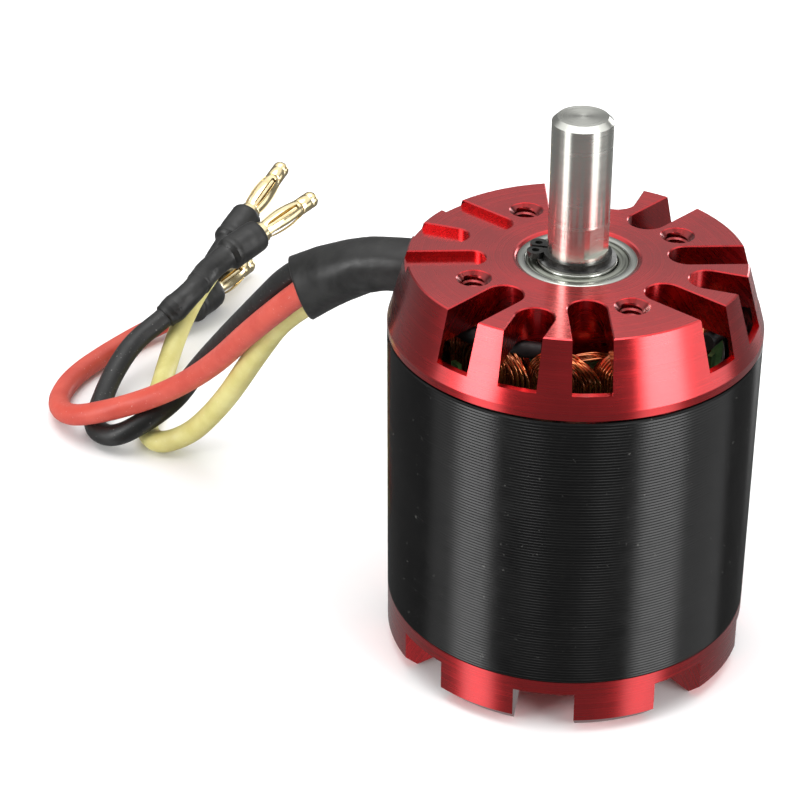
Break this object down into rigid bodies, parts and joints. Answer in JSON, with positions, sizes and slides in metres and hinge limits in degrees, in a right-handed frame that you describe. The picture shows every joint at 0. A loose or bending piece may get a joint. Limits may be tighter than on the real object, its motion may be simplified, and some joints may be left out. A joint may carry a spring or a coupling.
{
  "type": "brushless outrunner motor",
  "caption": "Brushless outrunner motor with a slotted red front cap, grooved black rotating can, notched red rear bell, plain shaft and sleeved leads with bullet plugs.",
  "frame": {"origin": "on the shaft axis, in the plane of the rear bell's feet", "axes": "+Z along the shaft towards its free end; -Y is the side seen from the front; the leads leave towards -X and +Y"},
  "size_m": [0.1059, 0.145, 0.0793],
  "materials": {
    "red_anodised": "satin red anodising",
    "bare_aluminium": "turned",
    "spring_steel": "bright",
    "lamination_steel": "stacked laminations",
    "green_insulation": "matt",
    "enamelled_copper": "enamelled",
    "black_sleeving": "matt",
    "black_heat_shrink": "satin",
    "red_silicone": "satin",
    "yellow_silicone": "satin",
    "black_silicone": "satin",
    "black_oxide_steel": "black oxide",
    "black_can": "fine turned grooves, semi-gloss black",
    "magnet_plating": "nickel plated",
    "ground_steel": "ground",
    "bearing_steel": "polished",
    "brass_cage": "pressed",
    "bearing_shield": "pressed steel",
    "gold_plate": "gold plated"
  },
  "bodies": {
    "stator": {"front_cap": "red_anodised", "stator_tube": "bare_aluminium", "preload_washer": "spring_steel", "stator_core": "lamination_steel", "front_insulator": "green_insulation", "rear_insulator": "green_insulation", "slot_wedges": "green_insulation", "phase_a_coils": "enamelled_copper", "phase_b_coils": "enamelled_copper", "phase_c_coils": "enamelled_copper", "phase_a_tail": "black_sleeving", "phase_b_tail": "black_sleeving", "phase_c_tail": "black_sleeving", "front_bearing_outer_ring": "bearing_steel", "front_bearing_shields": "bearing_shield", "rear_bearing_outer_ring": "bearing_steel", "rear_bearing_shields": "bearing_shield", "lead_sleeve": "black_heat_shrink", "lead_red": "red_silicone", "plug_pin_red": "gold_plate", "plug_spring_red": "gold_plate", "plug_shrink_red": "black_heat_shrink", "lead_yellow": "yellow_silicone", "plug_pin_yellow": "gold_plate", "plug_spring_yellow": "gold_plate", "plug_shrink_yellow": "black_heat_shrink", "lead_black": "black_silicone", "plug_pin_black": "gold_plate", "plug_spring_black": "gold_plate", "plug_shrink_black": "black_heat_shrink"},
    "rotor": {"rear_bell": "red_anodised", "bell_set_screws": "black_oxide_steel", "flux_ring": "black_can", "rotor_magnets": "magnet_plating", "shaft": "ground_steel", "rear_spacer": "ground_steel", "front_shim": "spring_steel", "front_circlip": "black_oxide_steel", "front_bearing_inner_ring": "bearing_steel", "rear_bearing_inner_ring": "bearing_steel"},
    "front_ball_set": {"front_bearing_balls": "bearing_steel", "front_bearing_cage": "brass_cage"},
    "rear_ball_set": {"rear_bearing_balls": "bearing_steel", "rear_bearing_cage": "brass_cage"}
  },
  "joints": [
    {"name": "rotor_spin", "type": "hinge", "parent": "stator", "child": "rotor", "pos_m": [0, 0, 0.03], "axis": [0, 0, 1], "continuous": true},
    {"name": "front_ball_set_spin", "type": "hinge", "parent": "stator", "child": "front_ball_set", "pos_m": [0, 0, 0.0564], "axis": [0, 0, 1], "continuous": true},
    {"name": "rear_ball_set_spin", "type": "hinge", "parent": "stator", "child": "rear_ball_set", "pos_m": [0, 0, 0.0135], "axis": [0, 0, 1], "continuous": true}
  ],
  "couplings": [
    {"joint": "front_ball_set_spin", "follows": "rotor_spin", "ratio": 0.4167},
    {"joint": "rear_ball_set_spin", "follows": "rotor_spin", "ratio": 0.4167}
  ]
}
